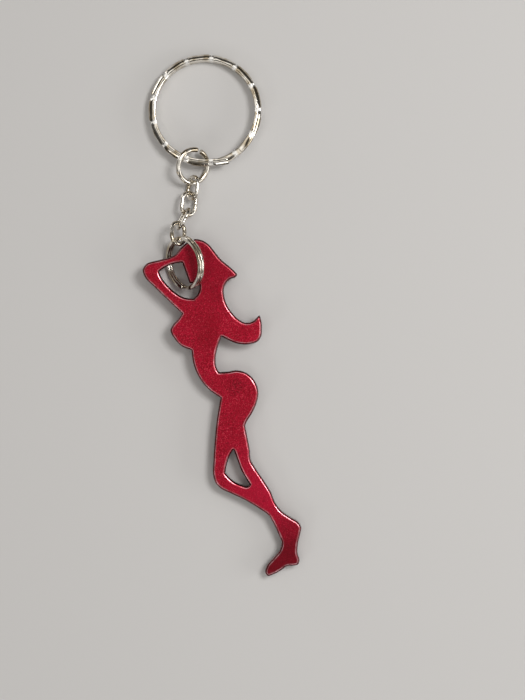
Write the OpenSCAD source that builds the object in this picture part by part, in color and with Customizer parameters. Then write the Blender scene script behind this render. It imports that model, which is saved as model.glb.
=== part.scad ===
// Keychain bottle opener: a flat cut-out figure that lifts crown caps with the notch in its
// back, joined by a small split ring, four chain links and a jump ring to a key ring.
// +Z is up. The object lies on the plane z = 0 with its length along Y, head and rings at +Y.
// The origin is on that plane, under the middle of the bounding box.

/* [Opener plate] */
// Thickness of the metal plate
plate_t = 3; // [2.8:0.1:3]
// Tilt of the plate, whose head end lies on the split ring in its arm
plate_tilt = 1.85; // [1.8:0.05:1.9]
// Straight pieces between two knots of the outline
curve_steps = 5; // [3:1:10]

/* [Opener ring] */
// Outside diameter of the small split ring
small_ring_od = 12; // [11.9:0.1:12.1]
// Width of its wire from the inside of the ring to its outside
small_wire_w = 0.9; // [0.7:0.05:0.9]
// Height of its wire along the ring's axis, one coil
small_wire_t = 0.65; // [0.5:0.05:0.65]

/* [Chain links] */
// Length of a link, outside
link_len = 5.8; // [5.7:0.05:5.85]
// Width of a link, outside
link_w = 4.3; // [4.2:0.05:4.35]
// Diameter of the links' wire
link_wire = 0.9; // [0.8:0.05:0.95]

/* [Jump ring] */
// Outside diameter of the jump ring
jump_od = 8.5; // [8.4:0.05:8.6]
// Diameter of its wire
jump_wire = 1.1; // [1:0.05:1.15]
// Angle of the open slit, seen from the middle of the ring
jump_slit = 14; // [6:1:20]

/* [Key ring] */
// Outside diameter of the key ring
key_ring_od = 25; // [24.8:0.1:25.2]
// Width of its wire from the inside of the ring to its outside
key_wire_w = 1.5; // [1.3:0.1:1.6]
// Height of its wire along the ring's axis, one coil
key_wire_t = 1.1; // [0.9:0.1:1.1]
// Flats cut round the outer edge of each coil
key_flats = 13; // [8:1:18]
// How far each flat reaches in from the edge
key_flat_cut = 0.85; // [0.6:0.05:0.9]
// Slope of the flats
key_flat_slope = 38; // [30:1:45]

/* [Hidden] */

red = "#a3152c";
nickel = "#b4afa4";
$fn = 64;
wire_fn = 32;        // sides of a round wire's section
coil_gap = 0.04;     // air between the two coils of a split ring
jog = 34;            // part of a turn in which a split ring's wire climbs one coil, degrees
overlap = 0.5;       // how far joined arcs run into each other, degrees

// The figure's outline, clockwise from the elbow, from the elbow's left edge (x) and the
// toe (y). A smooth curve runs through the knots, and a third value of 1 makes a corner.
raised_arm = [[0, 67.6], [0.5, 68.7], [3.7, 69.9], [6, 70.5], [7.2, 71.1]];
head = [[8.2, 72.3], [9.2, 73.3], [10.3, 74.1], [11.7, 74.5], [13.2, 74.2], [14.5, 73.4],
        [15.6, 72.1], [17.1, 70.2], [19.2, 68.4]];
cap_lip = [[20.3, 67.4], [20.8, 66.7], [20.5, 66.1], [19.4, 65.7]];
cap_notch = [[18.5, 64.9], [17.9, 63.4], [18, 61.9], [18.6, 60], [19.8, 58.2], [21.2, 56.8],
             [22.9, 56.1], [24.4, 56.5], [25.2, 57.3]];
cap_hook = [[25.7, 57.7], [26.1, 56.7], [26.3, 54.7], [26.1, 53], [25.3, 51.9], [23.9, 51.4],
            [21, 51.4], [18.9, 52.2]];
waist_back = [[17.4, 53, 1], [16.6, 50.8], [16.1, 48.2], [16.3, 46.2]];
seat = [[16.8, 45.2, 1], [18.7, 45.3], [20.8, 45.6], [22.9, 45], [24.6, 43.4], [25.5, 40.9],
        [25.1, 38.3], [24, 35.9], [23, 34.3]];
back_leg = [[22.6, 33.4, 1], [23.1, 30.8], [23.6, 28.1], [23.9, 25.6], [24.9, 23.9],
            [26.7, 21.2], [28.2, 18.8], [29.3, 16.2], [30.5, 14.6], [32.7, 13]];
heel = [[34.4, 11.9], [35, 10.8], [34.8, 9.5], [34.3, 7.3], [34.2, 5], [34.6, 3.5],
        [34.3, 2.6], [33.2, 2.3]];
sole = [[31.9, 2.2], [30.4, 1.2], [28.6, 0.3], [27.6, 0], [27, 0.8], [27.3, 2.2]];
shin = [[28.9, 4.2], [30.3, 6], [30.6, 7.4], [29.9, 9.3], [28.8, 11.7], [27.8, 13.4],
        [25.9, 14.8], [23, 16.6], [19.7, 18.2]];
knee = [[17.1, 19.5], [16, 20.7], [15.5, 22.2], [15.5, 25.6], [15.8, 30.1], [16.3, 34.9]];
belly = [[17.1, 39.5, 1], [14.8, 41.1], [12.7, 43.5], [11.3, 46.4]];
bust = [[10.7, 50, 1], [8.7, 50.8], [7, 52.5], [6.1, 54.5], [6.7, 55.7], [7.8, 56.9]];
upper_arm = [[8.6, 58.1, 1], [6.4, 60.2], [2.6, 63.9], [0.5, 66.1]];
figure_knots = concat(raised_arm, head, cap_lip, cap_notch, cap_hook, waist_back, seat,
                      back_leg, heel, sole, shin, knee, belly, bust, upper_arm);
arm_hole_knots = [[3.7, 67.3, 1], [5.1, 68.3], [6.8, 69], [8.7, 69.3, 1], [9.4, 67.4],
                  [10.3, 64.8, 1], [12.5, 64.5, 1], [12.4, 63], [11.2, 61.4, 1], [9, 61.7],
                  [7, 62.9], [5.1, 64.8], [4, 66.4]];
knee_hole_knots = [[20, 28.1, 1], [20.7, 26.1], [21.7, 23.5], [22.8, 21.6], [23.6, 20.4, 1],
                   [23.1, 20], [21.6, 20.3], [19.7, 21.3], [18.2, 22.9, 1], [18.5, 24.6],
                   [19.2, 26.7]];

// Where each piece lies: the middle of the piece, measured from the elbow's left edge, the
// toe and the table, and then its roll, pitch and heading in degrees.
opener_ring_lies = [9.3, 69.1, 5, -50, 0, 103];
link_4_lies = [7.85, 75.65, 4.55, 39, 16, 88];
link_3_lies = [8.85, 78.95, 3, 106, 14, 63];
link_2_lies = [10.1, 82.35, 2.15, 32, 5, 83];
link_1_lies = [10.95, 85.9, 1.95, -52, 3, 85];
jump_ring_lies = [11.01, 90.6, 2.73, 29.9, 18.3, 40.7];
key_ring_lies = [13.7, 103, 2.1, -4.2, -1, -5];

// Headings, in each ring's own plane, at which its wire starts or its slit is
opener_ring_start = 190;
jump_slit_at = 33;
key_ring_start = 333;

figure = closed_curve(figure_knots);
y_high = key_ring_lies.y + key_ring_od / 2;
x_mid = (min([for (p = figure) p.x]) + max([for (p = figure) p.x])) / 2;
y_mid = (y_high - plate_t * sin(plate_tilt)) / 2;

// A closed curve through knots: a cubic between each two, with the slope at a smooth knot
// taken from its neighbours, and straight runs between two corners.
function at(knots, i) = let (k = knots[(i + len(knots)) % len(knots)]) [k.x, k.y];
function is_corner(knots, i) = len(knots[i % len(knots)]) == 3;
function slope(knots, i) =
    let (before = at(knots, i) - at(knots, i - 1), after = at(knots, i + 1) - at(knots, i))
    (before * norm(after) / norm(before) + after * norm(before) / norm(after))
    / (norm(before) + norm(after));
function end_slope(knots, i, other, chord) =
    !is_corner(knots, i) ? slope(knots, i)
    : is_corner(knots, other) ? chord : 1.5 * chord - 0.5 * slope(knots, other);
function cubic(a, b, slope_a, slope_b, u) =
    let (length = norm(b - a))
    (1 - 3 * u ^ 2 + 2 * u ^ 3) * a + (3 * u ^ 2 - 2 * u ^ 3) * b
    + length * ((u - 2 * u ^ 2 + u ^ 3) * slope_a + (u ^ 3 - u ^ 2) * slope_b);
function closed_curve(knots) = [
    for (i = [0 : len(knots) - 1])
        let (a = at(knots, i), b = at(knots, i + 1), chord = (b - a) / norm(b - a),
             slope_a = end_slope(knots, i, i + 1, chord),
             slope_b = end_slope(knots, i + 1, i, chord))
        for (s = [0 : curve_steps - 1]) cubic(a, b, slope_a, slope_b, s / curve_steps)
];

// Moves the drawing's corner to the object's origin.
module in_frame() translate([-x_mid, -y_mid, 0]) children();

// Lays a piece, drawn flat about its own middle with its length along X, where it belongs.
module lay(place)
    in_frame() translate([place[0], place[1], place[2]])
        rotate([place[3], place[4], place[5]]) children();

// An arc of a ring whose wire's section is drawn by the children about its own middle.
module ring_arc(mid_radius, from, sweep)
    rotate([0, 0, from]) rotate_extrude(angle = sweep) translate([mid_radius, 0]) children();

// A wire wound twice round, with a short climb from the lower coil to the upper one.
// The children are the wire's section in the upper coil.
module split_ring(od, wire_w, wire_t) {
    mid_radius = (od - wire_w) / 2;
    rise = wire_t + coil_gap;
    slant = atan(rise / (mid_radius * jog * PI / 180));
    for (side = [-1, 1])
        translate([0, 0, side * rise / 2])
            ring_arc(mid_radius, 0, 360 - jog) scale([1, side]) children();
    rotate([0, 0, -jog / 2]) rotate([slant, 0, 0])
        ring_arc(mid_radius, -jog / 2 - overlap, jog + 2 * overlap) children();
}

// Section of a flat wire with its four edges rounded off.
module flat_wire(w, t, edge)
    polygon([for (c = [[1, 1, 0], [-1, 1, 90], [-1, -1, 180], [1, -1, 270]], a = [0 : 15 : 90])
             [c.x * (w / 2 - edge) + edge * cos(c.z + a),
              c.y * (t / 2 - edge) + edge * sin(c.z + a)]]);

// One oval link of round wire, lying flat with its length along X.
module link() {
    bend = (link_w - link_wire) / 2;
    straight = link_len - link_w;
    for (side = [-1, 1]) {
        translate([side * straight / 2, 0, 0])
            ring_arc(bend, -90 * side, 180) circle(d = link_wire, $fn = wire_fn);
        translate([-straight / 2, side * bend, 0]) rotate([0, 90, 0])
            cylinder(d = link_wire, h = straight, $fn = wire_fn);
    }
}

module bottle_opener()
    color(red) in_frame() rotate([plate_tilt, 0, 0]) linear_extrude(plate_t) difference() {
        polygon(figure);
        polygon(closed_curve(arm_hole_knots));
        polygon(closed_curve(knee_hole_knots));
    }

module opener_ring()
    color(nickel) lay(opener_ring_lies) rotate([0, 0, opener_ring_start])
        split_ring(small_ring_od, small_wire_w, small_wire_t)
            flat_wire(small_wire_w, small_wire_t, small_wire_t / 4);

module chain_link(place) color(nickel) lay(place) link();

module jump_ring()
    color(nickel) lay(jump_ring_lies)
        ring_arc((jump_od - jump_wire) / 2, jump_slit_at + jump_slit / 2, 360 - jump_slit)
            circle(d = jump_wire, $fn = wire_fn);

// A many-sided pyramid frustum whose sloping sides are the flats of the upper coil.
module flats() {
    top = key_wire_t + coil_gap / 2;
    edge = key_ring_od / 2 - key_flat_cut;
    corners = [for (z = [-3, top + 1], i = [0 : key_flats - 1])
               let (r = (edge - (z - top) / tan(key_flat_slope)) / cos(180 / key_flats),
                    a = i * 360 / key_flats - key_ring_lies[5])
               [r * cos(a), r * sin(a), z]];
    polyhedron(corners, concat(
        [[for (i = [0 : key_flats - 1]) i], [for (i = [key_flats - 1 : -1 : 0]) key_flats + i]],
        [for (i = [0 : key_flats - 1]) let (j = (i + 1) % key_flats)
         [i, key_flats + i, key_flats + j, j]]));
}

module key_ring()
    color(nickel) lay(key_ring_lies) intersection() {
        rotate([0, 0, key_ring_start]) split_ring(key_ring_od, key_wire_w, key_wire_t)
            flat_wire(key_wire_w, key_wire_t, key_wire_t / 6);
        flats();
        mirror([0, 0, 1]) flats();
    }

bottle_opener();
opener_ring();
chain_link(link_4_lies);  // chain_link_4
chain_link(link_3_lies);  // chain_link_3
chain_link(link_2_lies);  // chain_link_2
chain_link(link_1_lies);  // chain_link_1
jump_ring();
key_ring();
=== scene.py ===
import math

import bmesh
import bpy
import numpy as np
from mathutils import Euler, Matrix, Vector
from mathutils.geometry import delaunay_2d_cdt


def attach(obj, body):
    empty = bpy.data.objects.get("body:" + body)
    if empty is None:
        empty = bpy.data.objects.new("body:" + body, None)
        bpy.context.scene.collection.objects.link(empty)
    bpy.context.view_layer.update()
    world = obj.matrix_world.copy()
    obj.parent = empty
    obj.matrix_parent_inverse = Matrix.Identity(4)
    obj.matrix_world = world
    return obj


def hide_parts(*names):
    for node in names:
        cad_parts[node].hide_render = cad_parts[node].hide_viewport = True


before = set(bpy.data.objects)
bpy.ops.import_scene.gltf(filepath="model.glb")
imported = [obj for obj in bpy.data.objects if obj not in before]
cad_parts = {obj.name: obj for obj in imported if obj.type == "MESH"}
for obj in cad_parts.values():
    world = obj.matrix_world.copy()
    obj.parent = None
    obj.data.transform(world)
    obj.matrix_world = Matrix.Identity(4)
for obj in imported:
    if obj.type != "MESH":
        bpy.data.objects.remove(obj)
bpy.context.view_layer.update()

MM = 0.001

# Below, lengths are in millimetres and angles in degrees unless a comment says otherwise.

# The opener plate's rounded edge.
EDGE_RADIUS = 0.62        # of the tumbled edge round every outline
EDGE_LEVELS = 7           # rows of points from the wall to the face
OUTLINE_STEP = 0.22       # between two points of an outline
CORNER_TURN = 28          # turn that makes a corner
FACE_DEPTH = 0.01         # of the band under the top that counts as the upper face
PROBE = 0.05              # step from the outline that tells metal from air
TRIES = 12                # times the rounding can shrink where the plate is narrow
KEEP = 0.85               # share of the rounding that each try keeps
CLEAR = 0.96              # share of the rounding that has to be free of other outlines
WELD = 0.002              # within this, two points of the CAD face are one
MERGE = 1e-5              # the same for the points of the new face

# Where the wires lie, as in the CAD.
FRAME_ORIGIN = Vector((17.5078, 57.7016, 0))   # the frame's origin in the drawing's own corner
PLACES = {                                     # middle of the piece; roll, pitch and heading
    "opener_ring": (9.3, 69.1, 5, -50, 0, 103),
    "chain_link_4": (7.85, 75.65, 4.55, 39, 16, 88),
    "chain_link_3": (8.85, 78.95, 3, 106, 14, 63),
    "chain_link_2": (10.1, 82.35, 2.15, 32, 5, 83),
    "chain_link_1": (10.95, 85.9, 1.95, -52, 3, 85),
    "jump_ring": (11.01, 90.6, 2.73, 29.9, 18.3, 40.7),
    "key_ring": (13.7, 103, 2.1, -4.2, -1, -5),
}
END_TAPER = (1, 0.3, 0.05, 0)      # share of the taper in the rows from a wire's end inward
WIRE_TAPER = 0.1                   # part of the section that the end row loses

# Both split rings: one wire in two coils, with a climb between them.
JOG = 34                  # part of a turn in which the wire climbs one coil
COIL_GAP = 0.04           # between the two coils

OPENER_RING_OD = 12
OPENER_RING_WIRE = (0.9, 0.65)     # width, height
OPENER_RING_CORNER = 0.2
CORNER_POINTS = 4         # in each rounded corner of its wire
OPENER_RING_START = 190   # heading of the lower coil's free end
OPENER_RING_STEP = 1.5    # between two rows of its wire

KEY_RING_OD = 24.99
KEY_RING_WIRE = (1.5, 1.1)         # width, height
KEY_RING_CORNER = 0.16
CORNER_MIDDLE = 0.3       # share of that radius by which a corner's middle point is cut in
KEY_RING_TAPER = 0.06
KEY_RING_START = 333      # heading of the lower coil's free end
KEY_RING_STEP = 0.5       # between two rows of its wire
KEY_RING_SHARP = 32       # angle between two faces that makes a sharp edge
FLATS = 13                # round each outer edge
FLAT_CUT = 0.85           # width of a flat at its middle
FLAT_SLOPE = 38           # of a flat, down and outward
LEAST_FLAT = 0.15         # share of a flat that is left in the middle of the climb
CLIMB_LOSS = 0.3          # share of a flat that the climb takes at its ends
PINCH_DEPTH = 0.28        # of the dent between two flats
PINCH_SIDE = 0.18         # of the same dent in the outer side
PINCH_BROW = 0.12         # by which the dent's outer rim lies deeper
PINCH_INNER = 0.3         # share of the dent that reaches the inner corner
PINCH_WIDTH = 3.0         # of the dent, round the ring
EASE = 0.02               # by which a dent's corners are eased
FREE_END = 24             # of the upper coil's end, where it runs nearly straight
FREE_END_LIFT = 0.6       # share of a fully straight run that the free end takes

JUMP_RING_OD = 8.5
JUMP_RING_WIRE = 1.1
JUMP_RING_SLIT = 14       # opening between the wire's ends
JUMP_RING_SLIT_AT = 33    # heading of the slit's middle
JUMP_RING_ROWS = 240
JUMP_RING_SIDES = 24

LINK_LENGTH = 5.8
LINK_WIDTH = 4.3
LINK_WIRE = 0.9
LINK_GAP = 0.09           # between the wire's two ends
LINK_SIDES = 20
LINK_BEND_ROWS = 40       # in each half-round bend
LINK_SIDE_ROWS = 12       # in the straight side
LINK_HALF_ROWS = 8        # in each half of the side where the ends meet

# Painted sheen and painted shade on the red plate, and its chest streaks: middle in the frame and
# reach of a spot, the nearness to its middle at which the shade starts and at which it is full, its
# greatest share, and its colour.
HEAD = ((-1.0, 12.0, 4.6), 13)
PAINTED_LIGHT_AND_STREAKS = (
    ((10.5, -38, 2), 14, 0, 1, 0.5, (0.55, 0.008, 0.046)),         # painted sheen: the calf lighter where light falls on it
    ((9.0, 5, 2.5), 8, 0, 1, 0.4, (0.60, 0.016, 0.055)),           # painted sheen: the hook lighter where light falls on it
    ((15, -57, 2), 20, 0.25, 0.7, 0.75, (0.12, 0.001, 0.006)),     # painted shade: the foot darker where less light falls
    (*HEAD, 0, 0.6, 0.4, (0.18, 0.002, 0.010)),                    # painted shade: the head darker where less light falls
    ((-3.5, -2.2, 3.7), 3.8, 0, 1, 0.5, (0.20, 0.002, 0.008)),     # dark streak on the chest
    ((-3.0, -5.4, 3.6), 3.8, 0, 1, 0.5, (0.20, 0.002, 0.008)),
)
SCUFF = ((2.9, -15.6, 4.3), 2.6)                                   # smudge on the hip
RED_DEEP = (0.22, 0.002, 0.010)
RED_BRIGHT = (0.50, 0.009, 0.037)
RED_FLAKE = (0.80, 0.08, 0.12)
RED_CLOUD = (0.24, 0.003, 0.010)
RED_SCUFF = (0.10, 0.002, 0.005)
RED_WORN = (0.85, 0.50, 0.55)
# painted shade: the wall's colour, darkened as if in shadow
RED_WALL_PAINTED_SHADE = (0.10, 0.0015, 0.005)

NICKEL_BRIGHT = (0.82, 0.78, 0.71)
NICKEL_TARNISHED = (0.44, 0.37, 0.27)
# painted highlight: a whiter colour in the key ring's dents that brightens their glints
NICKEL_PINCH_HIGHLIGHT = (0.92, 0.90, 0.86)

# The stage, in metres and watts.
FLOOR_HALF_SIZE = 1.5
FLOOR_DROP = 0.02 * MM
FLOOR_COLOR = (0.60, 0.585, 0.57)
FLOOR_ROUGHNESS = 0.75
LIGHTS = {                         # place, width, height, power; all aim at the origin
    "key": ((0.25, 0.14, 0.52), 0.18, 0.18, 1.5),
    "low_left": ((-0.45, 0.37, 0.055), 0.24, 0.09, 0.26),
    "low_right": ((0.49, -0.10, 0.19), 0.38, 0.16, 0.62),
    "low_front": ((0.11, -0.40, 0.25), 0.14, 0.14, 0.15),
    "rim": ((-0.34, -0.36, 0.30), 0.12, 0.12, 0.25),
}
SKY = ((0.0, 0.06), (0.45, 0.05), (0.58, 0.22), (0.82, 0.28),      # height in the sky from 0 to 1,
       (0.86, 1.3), (0.94, 1.3), (0.97, 0.10))                     # and how bright it is there
SKY_TINT = (1, 0.98, 0.95)

VIEW_MIDDLE = Vector((8.90, -7.74, 3.0)) * MM
VIEW_HEIGHT = 154.7 * MM
CAMERA_DISTANCE = 0.40
CAMERA_SENSOR = 36                 # mm
CLIP_START = 0.01


# ---------------------------------------------------------------- meshes

def add_piece(name, verts, faces, node, material, normals=None):
    """A mesh in metres in the shared frame that stands for a CAD node and rides on its body."""
    mesh = bpy.data.meshes.new(name)
    mesh.from_pydata([tuple(v) for v in verts], [], faces)
    mesh.validate()
    mesh.shade_smooth()
    if normals is not None:
        mesh.normals_split_custom_set_from_vertices([tuple(n) for n in normals])
    piece = bpy.data.objects.new(name, mesh)
    bpy.context.scene.collection.objects.link(piece)
    mesh.materials.append(material)
    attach(piece, node)
    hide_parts(node)
    return piece


def placed(points, node):
    """Points drawn flat about a wire's own middle, in mm, laid where the CAD has the node."""
    x, y, z, roll, pitch, heading = PLACES[node]
    turn = Euler((math.radians(roll), math.radians(pitch), math.radians(heading))).to_matrix()
    middle = Vector((x, y, z)) - FRAME_ORIGIN
    return (np.asarray(points) @ np.array(turn).T + np.array(middle)) * MM


def wire(path, section):
    """Vertices and faces of a wire. path rows are x, y, z and the outward direction nx, ny.
    section(i) gives the section's points (outward, up) at path row i. Both ends are capped."""
    rows = [[(x + a * nx, y + a * ny, z + b) for a, b in section(i)]
            for i, (x, y, z, nx, ny) in enumerate(path)]
    n = len(rows[0])
    faces = [(i * n + j, i * n + (j + 1) % n, (i + 1) * n + (j + 1) % n, (i + 1) * n + j)
             for i in range(len(rows) - 1) for j in range(n)]
    last = (len(rows) - 1) * n
    faces += [tuple(range(n))[::-1], tuple(range(last, last + n))]
    return np.array([p for row in rows for p in row]), faces


def circle(radius, sides):
    """Section of a round wire."""
    return [(radius * math.cos(a), radius * math.sin(a))
            for a in np.linspace(0, 2 * math.pi, sides, endpoint=False)]


def tapered(section, i, count, taper=WIRE_TAPER):
    """A section at row i of a wire of count rows, smaller in the rows at both ends."""
    scale = 1 - taper * END_TAPER[min(i, count - 1 - i, len(END_TAPER) - 1)]
    return [(a * scale, b * scale) for a, b in section]


# ---------------------------------------------------------------- opener plate

def flat_outlines(mesh):
    """Outlines of the plate's upper face, in mm in the plate's own plane, with the turn that
    brings the plate there and the heights of its two faces."""
    upper = max(mesh.polygons, key=lambda p: p.area * p.normal.z)
    turn = upper.normal.rotation_difference(Vector((0, 0, 1))).to_matrix()
    bm = bmesh.new()
    bm.from_mesh(mesh)
    bmesh.ops.remove_doubles(bm, verts=bm.verts, dist=WELD * MM)
    bm.transform(Matrix.Scale(1 / MM, 4) @ turn.to_4x4())
    top, bottom = max(v.co.z for v in bm.verts), min(v.co.z for v in bm.verts)
    for f in bm.faces:
        f.tag = f.calc_center_median().z > top - FACE_DEPTH
    follows = {}
    for f in bm.faces:
        for loop in f.loops:
            if f.tag and sum(other.tag for other in loop.edge.link_faces) == 1:
                follows[loop.vert] = loop.link_loop_next.vert
    outlines = []
    while follows:
        start, here = next(iter(follows.items()))
        del follows[start]
        ring = [start.co.xy]
        while here is not start:
            ring.append(here.co.xy)
            here = follows.pop(here)
        outlines.append(np.array(ring))
    bm.free()
    return outlines, turn, top, bottom


def smoothed(ring):
    """The outline as points OUTLINE_STEP apart on a smooth curve that keeps its corners."""
    before, after = ring - np.roll(ring, 1, 0), np.roll(ring, -1, 0) - ring
    turn = np.degrees(np.arctan2(before[:, 0] * after[:, 1] - before[:, 1] * after[:, 0],
                                 (before * after).sum(1)))
    corner = np.abs(turn) > CORNER_TURN
    length_before, length_after = (np.linalg.norm(d, axis=1)[:, None] for d in (before, after))
    slope = before / length_before * length_after + after / length_after * length_before
    slope = slope / (length_before + length_after)
    points = []
    for i in range(len(ring)):
        j = (i + 1) % len(ring)
        a, b, chord = ring[i], ring[j], after[i]
        size = np.linalg.norm(chord)
        sa = chord if corner[i] else slope[i] * size
        sb = chord if corner[j] else slope[j] * size
        steps = max(1, round(size / OUTLINE_STEP))
        for u in np.arange(steps) / steps:
            points.append((1 - 3 * u**2 + 2 * u**3) * a + (3 * u**2 - 2 * u**3) * b
                          + (u - 2 * u**2 + u**3) * sa + (u**3 - u**2) * sb)
    return np.array(points)


def nearest(points, starts, ends):
    """Distance from each point to the nearest outline segment, and the nearest point."""
    best = np.full(len(points), 1e9)
    where = np.zeros((len(points), 2))
    for a, b in zip(starts, ends):
        d = b - a
        t = np.clip(((points - a) @ d) / (d @ d), 0, 1)
        q = a + t[:, None] * d
        dist = np.linalg.norm(points - q, axis=1)
        closer = dist < best
        best[closer], where[closer] = dist[closer], q[closer]
    return best, where


def inside(points, outlines):
    """True for the points in the metal: an odd number of outlines crossed."""
    odd = np.zeros(len(points), bool)
    for ring in outlines:
        for a, b in zip(ring, np.roll(ring, -1, 0)):
            crosses = (a[1] > points[:, 1]) != (b[1] > points[:, 1])
            with np.errstate(divide="ignore", invalid="ignore"):
                x = a[0] + (points[:, 1] - a[1]) / (b[1] - a[1]) * (b[0] - a[0])
            odd ^= crosses & (points[:, 0] < x)
    return odd


def beside(outlines, shift):
    """Every outline's points moved along by shift places, one outline after another."""
    return np.concatenate([np.roll(ring, shift, 0) for ring in outlines])


def inward_directions(outlines):
    """Unit vectors from the outlines' points into the metal."""
    along = np.array([(p - q) / np.linalg.norm(p - q)
                      for p, q in zip(beside(outlines, -1), beside(outlines, 1))])
    inward = np.stack([-along[:, 1], along[:, 0]], 1)
    starts = beside(outlines, 0)
    if not inside(starts[:1] + PROBE * inward[:1], outlines)[0]:
        inward = -inward
    return inward


def free_room(starts, ends, inward):
    """How deep the rounding can go at each outline point before another outline is in the way."""
    room = np.full(len(starts), EDGE_RADIUS)
    for _ in range(TRIES):
        dist, _ = nearest(starts + room[:, None] * inward, starts, ends)
        room = np.where(dist < CLEAR * room, room * KEEP, room)
    return room


def edge_rows(starts, inward, room):
    """The outlines' points and the rows of points between them and the flat of the face."""
    rows = [starts]
    for level in range(1, EDGE_LEVELS + 1):
        depth = EDGE_RADIUS * (1 - math.cos(math.radians(90 * level / EDGE_LEVELS)))
        rows.append((starts + depth * inward)[room >= depth])
    rows.append((starts + room[:, None] * inward)[room < EDGE_RADIUS])
    return np.concatenate(rows)


def outline_edges(outlines):
    """Pairs of point numbers, one after another round every outline."""
    edges, base = [], 0
    for ring in outlines:
        edges += [(base + i, base + (i + 1) % len(ring)) for i in range(len(ring))]
        base += len(ring)
    return edges


def filled(points, edges, outlines):
    """The metal between the outlines as points and upward triangles, with the new number of
    each outline point."""
    made = delaunay_2d_cdt([Vector(p) for p in points], edges, [], 0, MERGE, True)
    flat = np.array([tuple(v) for v in made[0]])
    triangles = np.array([f for f in made[2] if len(f) == 3])
    triangles = triangles[inside(flat[triangles].mean(1), outlines)]
    area = np.cross(flat[triangles[:, 1]] - flat[triangles[:, 0]],
                    flat[triangles[:, 2]] - flat[triangles[:, 0]])
    triangles[area < 0] = triangles[area < 0][:, ::-1]
    number = {origin: i for i, origins in enumerate(made[3])
              for origin in origins if origin < len(edges)}
    return flat, triangles, number


def rounding(flat, starts, ends, inward, number):
    """How far the rounded edge leans outward at each point, from 1 at the outline to 0 on the
    face, how much it faces up, and its normal."""
    dist, where = nearest(flat, starts, ends)
    lean = (EDGE_RADIUS - np.clip(dist, 0, EDGE_RADIUS)) / EDGE_RADIUS
    up = np.sqrt(np.clip(1 - lean**2, 0, 1))
    away = where - flat
    away /= np.maximum(np.linalg.norm(away, axis=1), 1e-9)[:, None]
    for origin, i in number.items():
        away[i] = -inward[origin]
    return lean, up, np.concatenate([away * lean[:, None], up[:, None]], 1)


def plate(node, material):
    """The opener plate with rounded edges: its CAD outline, smoothed, on both faces."""
    outlines, turn, top, bottom = flat_outlines(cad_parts[node].data)
    outlines = [smoothed(ring) for ring in outlines]
    starts, ends = beside(outlines, 0), beside(outlines, -1)
    inward = inward_directions(outlines)
    edges = outline_edges(outlines)
    rows = edge_rows(starts, inward, free_room(starts, ends, inward))
    flat, triangles, number = filled(rows, edges, outlines)
    lean, up, normal = rounding(flat, starts, ends, inward, number)
    height = EDGE_RADIUS * (1 - up)
    upper = np.concatenate([flat, (top - height)[:, None]], 1)
    lower = np.concatenate([flat, (bottom + height)[:, None]], 1)
    n = len(flat)
    faces = [tuple(t) for t in triangles] + [tuple(n + t[::-1]) for t in triangles]
    for a, b in edges:
        a, b = number[a], number[b]
        faces.append((a, n + a, n + b, b))
    back = np.array(turn)
    piece = add_piece("opener_plate", np.concatenate([upper, lower]) @ back * MM, faces, node,
                      material,
                      np.concatenate([normal, normal * (1, 1, -1)]) @ back)
    rim = piece.data.attributes.new("rim", "FLOAT", "POINT")
    rim.data.foreach_set("value", np.tile(lean, 2).astype(np.float32))


# ---------------------------------------------------------------- rings and links

def coil_rise(turn, rise):
    """Height of a split ring's wire at a turn of its two: low coil, climb, high coil."""
    u = min(max((turn - (360 - JOG)) / JOG, 0), 1)
    return rise * (u * u * (3 - 2 * u) - 0.5)


def split_path(radius, rise, step):
    """The turns of a split ring's wire from its lower free end, and its path."""
    turns = np.arange(0, 720 - JOG + step / 2, step)
    return turns, [(radius * math.cos(a), radius * math.sin(a), coil_rise(t, rise),
                    math.cos(a), math.sin(a)) for t, a in zip(turns, np.radians(turns))]


def started(verts, start):
    """A split ring's points turned so that its lower free end has the heading start."""
    return verts @ np.array(Matrix.Rotation(math.radians(start), 3, "Z")).T


def rounded_rectangle(w, h, radius):
    """Section of a flat wire w wide and h high."""
    points = []
    for cx, cy, a0 in ((1, 1, 0), (-1, 1, 90), (-1, -1, 180), (1, -1, 270)):
        for a in np.radians(a0 + np.linspace(0, 90, CORNER_POINTS)):
            points.append((cx * (w / 2 - radius) + radius * math.cos(a),
                           cy * (h / 2 - radius) + radius * math.sin(a)))
    return points


def opener_ring(material):
    """The small split ring through the plate's arm hole."""
    w, t = OPENER_RING_WIRE
    path = split_path((OPENER_RING_OD - w) / 2, t + COIL_GAP, OPENER_RING_STEP)[1]
    section = rounded_rectangle(w, t, OPENER_RING_CORNER)
    verts, faces = wire(path, lambda i: tapered(section, i, len(path)))
    add_piece("opener_ring_coils", placed(started(verts, OPENER_RING_START), "opener_ring"), faces,
              "opener_ring", material)


def dent(turn):
    """At a turn of the key ring: the angle from the middle of the flat there, and how much of
    the dent between two flats there is."""
    pitch = 360 / FLATS
    off = ((turn + KEY_RING_START + PLACES["key_ring"][5]) % pitch) - pitch / 2
    return off, math.exp(-((pitch / 2 - abs(off)) / PINCH_WIDTH) ** 2)


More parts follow.
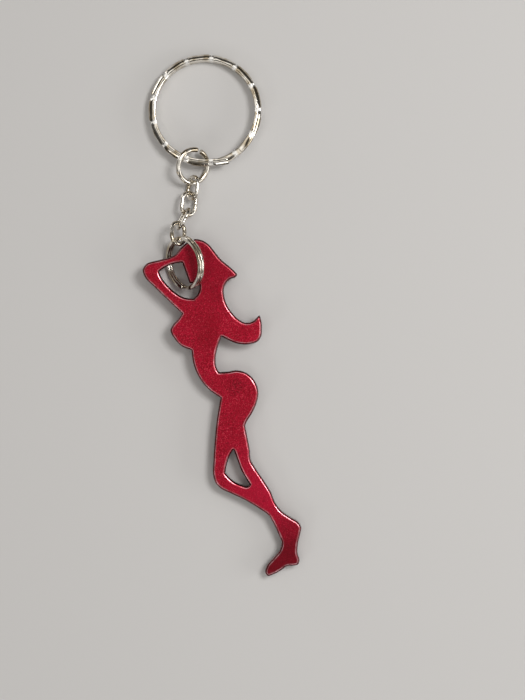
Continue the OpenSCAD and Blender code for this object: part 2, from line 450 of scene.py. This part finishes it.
def key_ring_section(turn):
    """The key ring wire's section, with the flat and the dent on the edge away from the other
    coil: the upper edge in the upper coil, the lower edge in the lower coil."""
    w, t = KEY_RING_WIRE
    r = KEY_RING_CORNER
    off, d = dent(turn)
    from_climb = abs(turn - (360 - JOG / 2)) / (JOG / 2)
    share = min(1, max(LEAST_FLAT, from_climb - CLIMB_LOSS))
    inward = (FLAT_CUT - KEY_RING_OD / 2 * (1 - math.cos(math.radians(off)))) * share
    inner = w / 2 - inward
    out = w / 2 - PINCH_SIDE * d
    crest = t / 2 - PINCH_DEPTH * d * share
    slope = math.tan(math.radians(FLAT_SLOPE))
    brow = t / 2 - (slope * inward * (1 - d) + (PINCH_DEPTH + PINCH_BROW) * d * share)
    m = r * CORNER_MIDDLE
    outline = [(inner - r, t / 2 - PINCH_INNER * (t / 2 - crest)), (inner + EASE, crest - 2 * EASE),
               (out - 2.5 * EASE, brow + EASE), (out, brow - 3 * EASE),
               (out, -t / 2 + r), (out - m, -t / 2 + m), (out - r, -t / 2),
               (-w / 2 + r, -t / 2), (-w / 2 + m, -t / 2 + m), (-w / 2, -t / 2 + r),
               (-w / 2, t / 2 - r), (-w / 2 + m, t / 2 - m), (-w / 2 + r, t / 2)]
    if turn < 360 - JOG / 2:
        outline = [(a, -b) for a, b in outline][::-1]
    return outline


def straightened(row, radius, before_end):
    """A path row of the key ring, whose free end runs on nearly straight for FREE_END degrees."""
    x, y, z, nx, ny = row
    if before_end < FREE_END:
        out = radius * FREE_END_LIFT * (1 / math.cos(math.radians(FREE_END - before_end)) - 1)
        x, y = x + nx * out, y + ny * out
    return x, y, z, nx, ny


def key_ring(material):
    """The large split ring, with the dents' places kept for its material."""
    w, t = KEY_RING_WIRE
    radius = (KEY_RING_OD - w) / 2
    turns, path = split_path(radius, t + COIL_GAP, KEY_RING_STEP)
    path = [straightened(row, radius, turns[-1] - turn) for row, turn in zip(path, turns)]
    verts, faces = wire(path, lambda i: tapered(key_ring_section(turns[i]), i, len(path),
                                                KEY_RING_TAPER))
    piece = add_piece("key_ring_coils", placed(started(verts, KEY_RING_START), "key_ring"), faces,
                      "key_ring", material)
    piece.data.set_sharp_from_angle(angle=math.radians(KEY_RING_SHARP))
    pinched = np.repeat([dent(turn)[1] for turn in turns], len(verts) // len(path))
    piece.data.attributes.new("pinch", "FLOAT", "POINT").data.foreach_set("value", pinched)


def jump_ring(material):
    """The open ring of round wire between the chain and the key ring."""
    radius = (JUMP_RING_OD - JUMP_RING_WIRE) / 2
    first = JUMP_RING_SLIT_AT + JUMP_RING_SLIT / 2
    last = JUMP_RING_SLIT_AT + 360 - JUMP_RING_SLIT / 2
    path = [(radius * math.cos(a), radius * math.sin(a), 0, math.cos(a), math.sin(a))
            for a in np.radians(np.linspace(first, last, JUMP_RING_ROWS))]
    section = circle(JUMP_RING_WIRE / 2, JUMP_RING_SIDES)
    verts, faces = wire(path, lambda i: tapered(section, i, len(path)))
    add_piece("jump_ring_wire", placed(verts, "jump_ring"), faces, "jump_ring",
              material)


def link_path():
    """A link's oval from one wire end round to the other; the ends meet in a straight side."""
    bend, half = (LINK_WIDTH - LINK_WIRE) / 2, (LINK_LENGTH - LINK_WIDTH) / 2
    path = [(x, bend, 0, 0, 1) for x in np.linspace(-LINK_GAP / 2, -half, LINK_HALF_ROWS)]
    for x0, a0 in ((-half, 90), (half, 270)):
        for a in np.radians(np.linspace(a0, a0 + 180, LINK_BEND_ROWS)):
            path.append((x0 + bend * math.cos(a), bend * math.sin(a), 0, math.cos(a), math.sin(a)))
        if a0 == 90:
            side = np.linspace(-half, half, LINK_SIDE_ROWS)[1:-1]
            path += [(x, -bend, 0, 0, -1) for x in side]
    path += [(x, bend, 0, 0, 1) for x in np.linspace(half, LINK_GAP / 2, LINK_HALF_ROWS)[1:]]
    return path


def chain_link(node, flip, material):
    """One link; flip puts the side where its wire ends meet on the other side."""
    path = link_path()
    section = circle(LINK_WIRE / 2, LINK_SIDES)
    verts, faces = wire(path, lambda i: tapered(section, i, len(path)))
    if flip:
        verts = verts * (-1, -1, 1)
    add_piece(node + "_wire", placed(verts, node), faces, node, material)


# ---------------------------------------------------------------- materials

def rgb(r, g, b):
    return (r, g, b, 1)


class Nodes:
    """Short calls for making a material's nodes."""

    def __init__(self, name):
        self.material = bpy.data.materials.new(name)
        self.material.use_nodes = True
        self.tree = self.material.node_tree
        self.shader = self.tree.nodes["Principled BSDF"]
        self.place = self.add("ShaderNodeTexCoord").outputs["Object"]

    def add(self, kind, **values):
        node = self.tree.nodes.new(kind)
        for key, value in values.items():
            setattr(node, key, value)
        return node

    def link(self, a, b):
        self.tree.links.new(a, b)

    def noise(self, size_mm, detail=2.0, roughness=0.5, offset=0.0):
        """Noise from 0 to 1 with features about size_mm across; offset picks another stretch."""
        node = self.add("ShaderNodeTexNoise")
        node.inputs["Scale"].default_value = 1 / (size_mm * MM)
        node.inputs["Detail"].default_value = detail
        node.inputs["Roughness"].default_value = roughness
        shift = self.add("ShaderNodeVectorMath", operation="ADD")
        shift.inputs[1].default_value = (offset, offset * 0.7, offset * 1.3)
        self.link(self.place, shift.inputs[0])
        self.link(shift.outputs[0], node.inputs["Vector"])
        return node.outputs["Fac"]

    def remap(self, value, low, high, to_low=0.0, to_high=1.0):
        node = self.add("ShaderNodeMapRange")
        self.link(value, node.inputs["Value"])
        for key, v in (("From Min", low), ("From Max", high), ("To Min", to_low), ("To Max", to_high)):
            node.inputs[key].default_value = v
        return node.outputs["Result"]

    def mix(self, factor, a, b):
        node = self.add("ShaderNodeMix", data_type="RGBA")
        for socket, value in ((node.inputs[0], factor), (node.inputs[6], a), (node.inputs[7], b)):
            if hasattr(value, "is_linked"):
                self.link(value, socket)
            else:
                socket.default_value = value
        return node.outputs[2]

    def math(self, operation, a, b=None):
        node = self.add("ShaderNodeMath", operation=operation)
        for socket, value in zip(node.inputs, (a, b)):
            if hasattr(value, "is_linked"):
                self.link(value, socket)
            elif value is not None:
                socket.default_value = value
        return node.outputs[0]

    def near(self, middle_mm, radius_mm):
        """1 at a point, falling to 0 at radius_mm from it."""
        node = self.add("ShaderNodeVectorMath", operation="DISTANCE")
        self.link(self.place, node.inputs[0])
        node.inputs[1].default_value = tuple(Vector(middle_mm) * MM)
        return self.remap(node.outputs["Value"], 0, radius_mm * MM, 1, 0)

    def bump(self, height, strength, distance_mm):
        node = self.add("ShaderNodeBump")
        node.inputs["Strength"].default_value = strength
        node.inputs["Distance"].default_value = distance_mm * MM
        self.link(height, node.inputs["Height"])
        self.link(node.outputs["Normal"], self.shader.inputs["Normal"])


def red_color(n, rim, worn):
    """Sparkling red with painted sheen and shade at places and streaks on the chest, a smudge, a worn
    line near the edge and a wall darkened as painted shade.
    """
    grain = n.noise(0.20, 2)
    flakes = n.noise(0.26, 1, offset=0.2)
    cloud = n.noise(4, 3, offset=0.3)
    color = n.mix(n.remap(grain, 0.38, 0.62), rgb(*RED_DEEP), rgb(*RED_BRIGHT))
    color = n.mix(n.remap(flakes, 0.58, 0.70, 0, 0.5), color, rgb(*RED_FLAKE))
    color = n.mix(n.remap(cloud, 0.35, 0.7, 0, 0.45), color, rgb(*RED_CLOUD))
    # painted sheen and painted shade at spots on the plate, besides the real chest streaks
    for middle, reach, start, full, share, shade in PAINTED_LIGHT_AND_STREAKS:
        color = n.mix(n.remap(n.near(middle, reach), start, full, 0, share), color, rgb(*shade))
    scuff = n.math("MULTIPLY", n.near(*SCUFF), n.remap(n.noise(0.34, 3), 0.42, 0.56))
    color = n.mix(n.math("MULTIPLY", scuff, 0.9), color, rgb(*RED_SCUFF))
    color = n.mix(n.math("MULTIPLY", worn, 0.45), color, rgb(*RED_WORN))
    # painted shade: the steep wall and outer rounding darkened as if shadowed
    return n.mix(n.remap(rim, 0.42, 0.62), color, rgb(*RED_WALL_PAINTED_SHADE))


def worn_line(n, rim, head):
    """Where the plate's edge is worn bright: a broken line between face and wall, faint on the
    head."""
    line = n.math("MULTIPLY", n.remap(rim, 0.10, 0.22), n.remap(rim, 0.50, 0.36))
    line = n.math("MULTIPLY", line, n.remap(n.noise(1.6, 3), 0.40, 0.62, 0.15, 1))
    return n.math("MULTIPLY", line, n.remap(head, 0, 0.7, 1, 0.2))


def red_anodised():
    """Red metal under a clear coat. rim is 1 on the wall and 0 on the face."""
    n = Nodes("red_anodised")
    n.shader.inputs["Metallic"].default_value = 1
    n.shader.inputs["Coat Weight"].default_value = 1
    n.shader.inputs["Coat IOR"].default_value = 1.5
    rim = n.add("ShaderNodeAttribute", attribute_name="rim").outputs["Fac"]
    head = n.near(*HEAD)
    dulled = n.math("MULTIPLY", head, n.remap(rim, 0.05, 0.2))
    coat = n.math("ADD", n.remap(rim, 0.02, 0.2, 0.12, 0.07), n.math("MULTIPLY", dulled, 0.45))
    n.link(coat, n.shader.inputs["Coat Roughness"])
    worn = worn_line(n, rim, head)
    n.link(red_color(n, rim, worn), n.shader.inputs["Base Color"])
    rough = n.remap(n.noise(0.6, 3), 0.3, 0.7, 0.36, 0.50)
    n.link(n.math("SUBTRACT", rough, n.math("MULTIPLY", worn, 0.16)), n.shader.inputs["Roughness"])
    n.bump(n.noise(0.15, 2, 0.6), 0.5, 0.02)
    return n.material


def nickel():
    """Nickel plate with tarnish in patches, duller in the key ring's dents and whiter there as a
    painted highlight.
    """
    n = Nodes("nickel")
    n.shader.inputs["Metallic"].default_value = 1
    pinch = n.add("ShaderNodeAttribute", attribute_name="pinch").outputs["Fac"]
    tarnish = n.remap(n.noise(2.2, 2, 0.5), 0.40, 0.62)
    color = n.mix(tarnish, rgb(*NICKEL_BRIGHT), rgb(*NICKEL_TARNISHED))
    # painted highlight: the dents whiter so that their glints show white
    color = n.mix(n.remap(pinch, 0.3, 0.8), color, rgb(*NICKEL_PINCH_HIGHLIGHT))
    n.link(color, n.shader.inputs["Base Color"])
    rough = n.remap(n.noise(1.2, 2), 0.3, 0.7, 0.10, 0.18)
    n.link(n.math("ADD", rough, n.math("MULTIPLY", pinch, 0.14)), n.shader.inputs["Roughness"])
    n.bump(n.noise(2.0, 1, 0.5), 0.02, 0.02)
    return n.material


# ---------------------------------------------------------------- stage, light and camera

def floor():
    """A plain pale floor, just below the object."""
    size = FLOOR_HALF_SIZE
    mesh = bpy.data.meshes.new("floor")
    mesh.from_pydata([(-size, -size, 0), (size, -size, 0), (size, size, 0), (-size, size, 0)], [],
                     [(0, 1, 2, 3)])
    plane = bpy.data.objects.new("floor", mesh)
    plane.location.z = -FLOOR_DROP
    bpy.context.scene.collection.objects.link(plane)
    n = Nodes("floor")
    n.shader.inputs["Base Color"].default_value = rgb(*FLOOR_COLOR)
    n.shader.inputs["Roughness"].default_value = FLOOR_ROUGHNESS
    mesh.materials.append(n.material)


def area_light(name, place, width, height, power):
    """A rectangle of light that faces the origin and isn't seen by the camera."""
    data = bpy.data.lights.new(name, "AREA")
    data.shape, data.size, data.size_y = "RECTANGLE", width, height
    data.energy = power
    light = bpy.data.objects.new(name, data)
    light.location = place
    light.rotation_euler = (-Vector(place)).to_track_quat("-Z", "Y").to_euler()
    light.visible_camera = False
    bpy.context.scene.collection.objects.link(light)


def sky():
    """A grey sky, brightest in a ring round a dark zenith, which the wires mirror as thin
    lines."""
    world = bpy.data.worlds.new("studio")
    world.use_nodes = True
    tree = world.node_tree
    where = tree.nodes.new("ShaderNodeTexCoord")
    split = tree.nodes.new("ShaderNodeSeparateXYZ")
    ramp = tree.nodes.new("ShaderNodeValToRGB")
    tree.links.new(where.outputs["Generated"], split.inputs[0])
    tree.links.new(split.outputs["Z"], ramp.inputs["Fac"])
    tree.links.new(ramp.outputs["Color"], tree.nodes["Background"].inputs["Color"])
    while len(ramp.color_ramp.elements) < len(SKY):
        ramp.color_ramp.elements.new(0.5)
    for element, (at, value) in zip(ramp.color_ramp.elements, SKY):
        element.position = at
        element.color = rgb(*(value * tint for tint in SKY_TINT))
    bpy.context.scene.world = world


def camera():
    """The photograph's view, straight down."""
    data = bpy.data.cameras.new("camera")
    data.sensor_width = CAMERA_SENSOR
    data.lens = CAMERA_SENSOR * CAMERA_DISTANCE / VIEW_HEIGHT
    data.clip_start = CLIP_START
    eye = bpy.data.objects.new("camera", data)
    eye.location = VIEW_MIDDLE + Vector((0, 0, CAMERA_DISTANCE))
    bpy.context.scene.collection.objects.link(eye)
    bpy.context.scene.camera = eye


red, metal = red_anodised(), nickel()
plate("bottle_opener", red)
opener_ring(metal)
for number in (4, 3, 2, 1):
    chain_link(f"chain_link_{number}", number % 2 == 0, metal)
jump_ring(metal)
key_ring(metal)
floor()
for lamp, settings in LIGHTS.items():
    area_light(lamp, *settings)
sky()
camera()
bpy.context.scene.view_settings.view_transform = "Standard"
